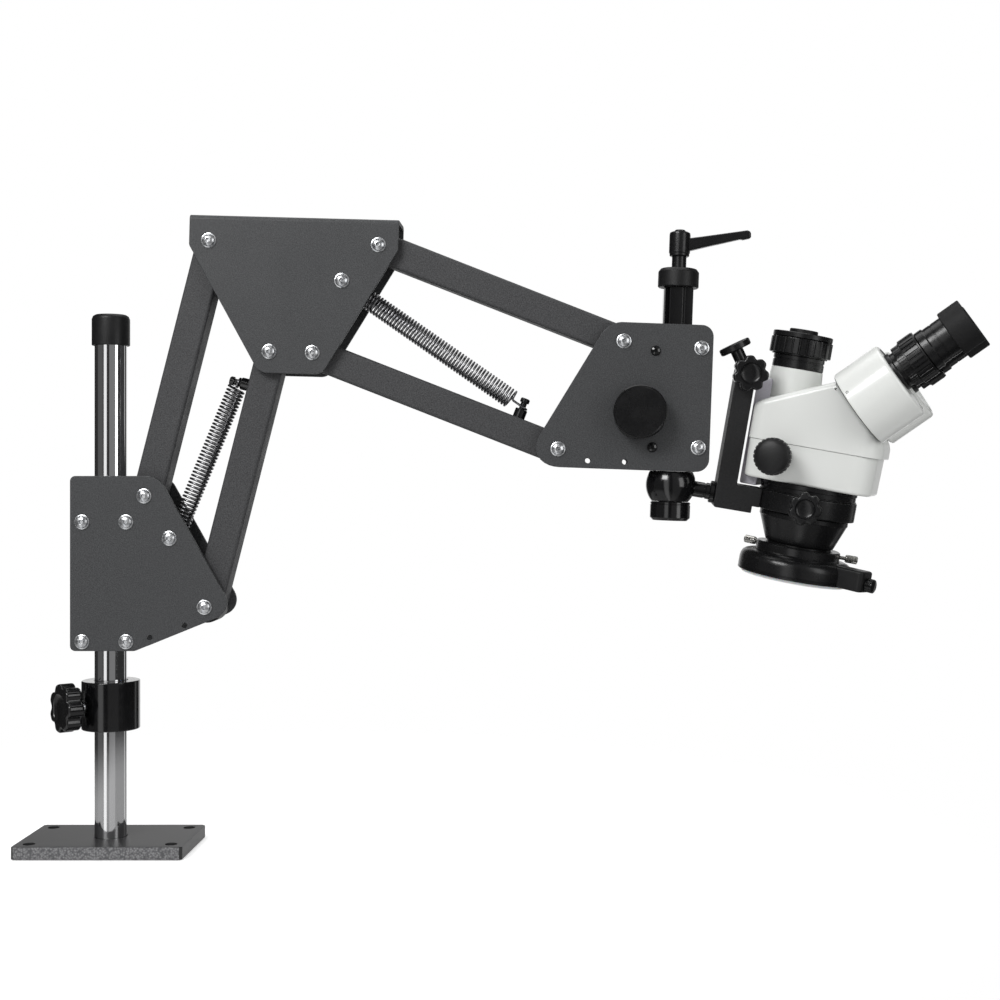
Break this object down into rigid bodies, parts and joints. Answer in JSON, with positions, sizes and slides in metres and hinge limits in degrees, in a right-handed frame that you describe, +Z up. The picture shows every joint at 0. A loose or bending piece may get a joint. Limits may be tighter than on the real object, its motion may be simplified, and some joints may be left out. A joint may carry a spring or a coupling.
{
  "type": "trinocular stereo microscope on a spring-balanced arm",
  "caption": "Stereo microscope with angled eyepieces, camera port and ring light, carried by a spring-balanced parallelogram arm on a pole with a screw-down base plate.",
  "frame": {"origin": "middle of the base plate's underside, below the pole's axis", "axes": "+Z up along the pole, +X the way the arm reaches, +Y away from the side the picture shows"},
  "size_m": [0.9097, 0.1882, 0.599],
  "materials": {
    "charcoal": "satin",
    "link_tube": "painted",
    "base_paint": "hammered",
    "chrome": "polished",
    "zinc": "bright",
    "spring_steel": "satin",
    "gloss_black": "gloss",
    "black_alloy": "black anodised",
    "black_plastic": "satin",
    "nylon": "satin",
    "body_white": "semi gloss",
    "spine_grey": "satin",
    "rubber": "matte",
    "diffuser_white": "frosted"
  },
  "bodies": {
    "stand": {"base_plate": "base_paint", "pole": "chrome", "pole_cap": "black_plastic"},
    "collar": {"stop_collar": "black_alloy"},
    "collar_screw": {"collar_knob": "gloss_black"},
    "lift": {"pole_bush": "nylon"},
    "carriage": {"carriage_plate_front": "charcoal", "carriage_plate_back": "charcoal", "pivot_bolt_a": "zinc", "pivot_bolt_b": "zinc"},
    "rear_arm": {"rear_link": "link_tube"},
    "front_arm": {"front_link": "link_tube"},
    "lower_loop": {"lower_spring_loop": "spring_steel"},
    "lower_coil": {"lower_spring_coil": "spring_steel"},
    "knee": {"knee_housing": "charcoal", "pivot_bolt_c": "zinc", "pivot_bolt_d": "zinc", "pivot_bolt_e": "zinc", "pivot_bolt_f": "zinc"},
    "upper_arm": {"upper_link": "link_tube"},
    "lower_arm": {"lower_link": "link_tube"},
    "upper_loop": {"upper_spring_loop": "spring_steel"},
    "upper_coil": {"upper_spring_coil": "spring_steel"},
    "head": {"head_plate_front": "charcoal", "head_plate_back": "charcoal", "pivot_bolt_g": "zinc", "pivot_bolt_h": "zinc", "focus_block": "black_alloy"},
    "focus": {"focus_knob_front": "black_plastic", "focus_knob_back": "black_plastic"},
    "column": {"column_bar": "chrome", "column_cap": "black_plastic"},
    "lever": {"clamp_lever": "black_plastic"},
    "ball_case": {"ball_housing": "chrome", "ball_cap": "black_alloy"},
    "stud": {"ball_stud": "chrome"},
    "bracket": {"scope_bracket": "black_alloy"},
    "disc_screw": {"bracket_disc_knob": "gloss_black"},
    "star_screw": {"bracket_star_knob": "gloss_black"},
    "ring_screw": {"ring_star_knob": "gloss_black"},
    "scope": {"mount_flange": "black_alloy", "objective_cone": "black_plastic", "scope_lower_body": "body_white", "upper_cover": "body_white", "rear_spine": "spine_grey", "trinocular_tube": "body_white", "port_tube": "black_plastic", "ring_light": "black_plastic", "diffuser": "diffuser_white"},
    "zoom": {"zoom_knob_near": "black_plastic", "zoom_knob_far": "black_plastic"},
    "port_collar": {"port_ring": "black_plastic"},
    "port_lid": {"port_cap": "black_plastic"},
    "drum_near": {"eyepiece_drum_near": "black_plastic"},
    "drum_far": {"eyepiece_drum_far": "black_plastic"},
    "diopter_near": {"diopter_ring_near": "black_plastic"},
    "diopter_far": {"diopter_ring_far": "black_plastic"},
    "eye_near": {"eyepiece_near": "rubber"},
    "eye_far": {"eyepiece_far": "rubber"},
    "dimmer": {"dimmer_knob": "gloss_black"}
  },
  "joints": [
    {"name": "collar_slide", "type": "slide", "parent": "stand", "child": "collar", "axis": [0, 0, 1], "range_m": [-0.095, 0.009]},
    {"name": "collar_screw_turn", "type": "hinge", "parent": "collar", "child": "collar_screw", "pos_m": [0, 0, 0.137], "axis": [-0.766, -0.6428, 0], "range_deg": [-270, 0]},
    {"name": "carriage_lift", "type": "slide", "parent": "stand", "child": "lift", "axis": [0, 0, 1], "range_m": [-0.019, 0.15]},
    {"name": "carriage_swivel", "type": "hinge", "parent": "lift", "child": "carriage", "pos_m": [0, 0, 0.25465], "axis": [0, 0, 1], "continuous": true},
    {"name": "arm_lower", "type": "hinge", "parent": "carriage", "child": "rear_arm", "pos_m": [0.0375, 0, 0.335], "axis": [0, 1, 0], "range_deg": [-10, 35]},
    {"name": "knee_level", "type": "hinge", "parent": "rear_arm", "child": "knee", "pos_m": [0.09809, 0, 0.57445], "axis": [0, 1, 0], "range_deg": [-35, 10]},
    {"name": "front_link_turn", "type": "hinge", "parent": "carriage", "child": "front_arm", "pos_m": [0.09404, 0, 0.23086], "axis": [0, 1, 0], "range_deg": [-10, 35]},
    {"name": "lower_spring_swing", "type": "hinge", "parent": "front_arm", "child": "lower_loop", "pos_m": [0.12397, 0, 0.44187], "axis": [0, 1, 0], "range_deg": [-2.5, 6.5]},
    {"name": "lower_spring_stretch", "type": "slide", "parent": "lower_loop", "child": "lower_coil", "axis": [-0.3939, 0, -0.9192], "range_m": [-0.012, 0.04], "deforming": ["lower_spring_coil"]},
    {"name": "arm_upper", "type": "hinge", "parent": "knee", "child": "upper_arm", "pos_m": [0.25704, 0, 0.57029], "axis": [0, 1, 0], "range_deg": [-28, 26]},
    {"name": "lower_link_turn", "type": "hinge", "parent": "knee", "child": "lower_arm", "pos_m": [0.19512, 0, 0.46925], "axis": [0, 1, 0], "range_deg": [-28, 26]},
    {"name": "upper_spring_swing", "type": "hinge", "parent": "lower_arm", "child": "upper_loop", "pos_m": [0.39047, 0, 0.41713], "axis": [0, 1, 0], "range_deg": [-2.5, 2.5]},
    {"name": "upper_spring_stretch", "type": "slide", "parent": "upper_loop", "child": "upper_coil", "axis": [-0.8142, 0, 0.5805], "range_m": [-0.036, 0.034], "deforming": ["upper_spring_coil"]},
    {"name": "head_level", "type": "hinge", "parent": "upper_arm", "child": "head", "pos_m": [0.48701, 0, 0.48017], "axis": [0, 1, 0], "range_deg": [-26, 28]},
    {"name": "focus_travel", "type": "slide", "parent": "head", "child": "column", "axis": [0.0366, 0, 0.9993], "range_m": [-0.034, 0]},
    {"name": "focus_turn", "type": "hinge", "parent": "head", "child": "focus", "pos_m": [0.50156, 0, 0.41309], "axis": [0, 1, 0], "range_deg": [-1, 245]},
    {"name": "lever_turn", "type": "hinge", "parent": "column", "child": "lever", "pos_m": [0.54016, 0, 0.55827], "axis": [0.0366, 0, 0.9993], "range_deg": [-90, 90]},
    {"name": "ball_swivel", "type": "hinge", "parent": "column", "child": "ball_case", "pos_m": [0.53235, 0, 0.34541], "axis": [0.0366, 0, 0.9993], "range_deg": [-60, 60]},
    {"name": "ball_pitch", "type": "hinge", "parent": "ball_case", "child": "stud", "pos_m": [0.53235, 0, 0.34541], "axis": [0, 1, 0], "range_deg": [-4, 10]},
    {"name": "bracket_roll", "type": "hinge", "parent": "stud", "child": "bracket", "pos_m": [0.53235, 0, 0.34541], "axis": [0.986, 0, -0.1668], "range_deg": [-30, 30]},
    {"name": "disc_screw_turn", "type": "hinge", "parent": "bracket", "child": "disc_screw", "pos_m": [0.60414, -0.00811, 0.45084], "axis": [-0.4293, -0.0571, 0.9014], "range_deg": [-270, 0]},
    {"name": "star_screw_turn", "type": "hinge", "parent": "bracket", "child": "star_screw", "pos_m": [0.60414, -0.00811, 0.45084], "axis": [-0.0116, -0.9976, -0.0688], "range_deg": [-270, 0]},
    {"name": "ring_screw_turn", "type": "hinge", "parent": "bracket", "child": "ring_screw", "pos_m": [0.66068, -0.00019, 0.32644], "axis": [-0.1572, -0.9866, -0.0434], "range_deg": [-270, 0]},
    {"name": "scope_turn", "type": "hinge", "parent": "bracket", "child": "scope", "pos_m": [0.66068, -0.00019, 0.32644], "axis": [0.1664, -0.0698, 0.9836], "range_deg": [-20, 55]},
    {"name": "zoom_turn", "type": "hinge", "parent": "scope", "child": "zoom", "pos_m": [0.64338, 0.0049, 0.37243], "axis": [0.3158, 0.9487, 0.0139], "range_deg": [-130, 130]},
    {"name": "port_ring_turn", "type": "hinge", "parent": "scope", "child": "port_collar", "pos_m": [0.63172, 0.00937, 0.33202], "axis": [0.1664, -0.0698, 0.9836], "range_deg": [-90, 90]},
    {"name": "port_cap_lift", "type": "slide", "parent": "scope", "child": "port_lid", "axis": [0.1664, -0.0698, 0.9836], "range_m": [0, 0.02]},
    {"name": "drum_near_turn", "type": "hinge", "parent": "scope", "child": "drum_near", "pos_m": [0.7001, -0.05571, 0.41472], "axis": [0.7782, -0.2673, 0.5683], "range_deg": [-12, 12]},
    {"name": "drum_far_turn", "type": "hinge", "parent": "scope", "child": "drum_far", "pos_m": [0.72473, 0.01829, 0.4158], "axis": [0.7782, -0.2673, 0.5683], "range_deg": [-12, 12]},
    {"name": "diopter_near_turn", "type": "hinge", "parent": "drum_near", "child": "diopter_near", "pos_m": [0.73525, -0.05946, 0.44841], "axis": [0.7782, -0.2673, 0.5683], "range_deg": [-150, 150]},
    {"name": "diopter_far_turn", "type": "hinge", "parent": "drum_far", "child": "diopter_far", "pos_m": [0.75483, -0.00064, 0.44927], "axis": [0.7782, -0.2673, 0.5683], "range_deg": [-150, 150]},
    {"name": "eyepiece_near_out", "type": "slide", "parent": "drum_near", "child": "eye_near", "axis": [0.7782, -0.2673, 0.5683], "range_m": [0, 0.025]},
    {"name": "eyepiece_far_out", "type": "slide", "parent": "drum_far", "child": "eye_far", "axis": [0.7782, -0.2673, 0.5683], "range_m": [0, 0.025]},
    {"name": "dimmer_turn", "type": "hinge", "parent": "scope", "child": "dimmer", "pos_m": [0.65048, 0.00409, 0.26615], "axis": [0.7909, -0.5864, -0.1753], "range_deg": [0, 270]}
  ],
  "couplings": [
    {"joint": "knee_level", "follows": "arm_lower", "ratio": -1},
    {"joint": "front_link_turn", "follows": "arm_lower", "ratio": 1},
    {"joint": "lower_spring_swing", "follows": "arm_lower", "ratio": 0.174},
    {"joint": "lower_spring_stretch", "follows": "arm_lower", "m_per_rad": 0.065},
    {"joint": "head_level", "follows": "arm_upper", "ratio": -1},
    {"joint": "lower_link_turn", "follows": "arm_upper", "ratio": 1},
    {"joint": "upper_spring_swing", "follows": "arm_upper", "ratio": -0.065},
    {"joint": "upper_spring_stretch", "follows": "arm_upper", "m_per_rad": 0.07},
    {"joint": "focus_turn", "follows": "focus_travel", "rad_per_m": -125},
    {"joint": "drum_far_turn", "follows": "drum_near_turn", "ratio": -1}
  ]
}
